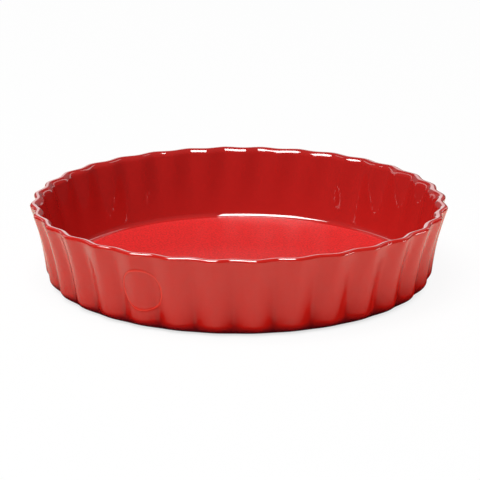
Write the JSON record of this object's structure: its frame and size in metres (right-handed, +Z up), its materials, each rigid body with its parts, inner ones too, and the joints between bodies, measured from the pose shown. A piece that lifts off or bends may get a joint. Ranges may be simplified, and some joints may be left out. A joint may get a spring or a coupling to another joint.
{
  "type": "fluted pie dish",
  "caption": "Round deep pie or flan dish of glossy red glazed stoneware with a flared fluted wall, a rounded scalloped rim, a flat floor and a bare clay foot ring.",
  "frame": {"origin": "Middle of the foot ring on the table plane, so the dish stands on Z = 0.", "axes": "+Z is up along the axis of the dish, -Y is the front that faces the camera, +X is to the right."},
  "size_m": [0.28, 0.28, 0.0538],
  "materials": {
    "fired_clay": "matte bare buff clay, seen only on the foot ring",
    "inside_red_glaze": "glossy red glaze with a faint mottle",
    "outside_red_glaze": "glossy red glaze",
    "underside_red_glaze": "glossy red glaze"
  },
  "bodies": {
    "root": {"clay_body": "fired_clay", "inside_glaze": "inside_red_glaze", "outside_glaze": "outside_red_glaze", "underside_glaze": "underside_red_glaze"}
  },
  "joints": []
}
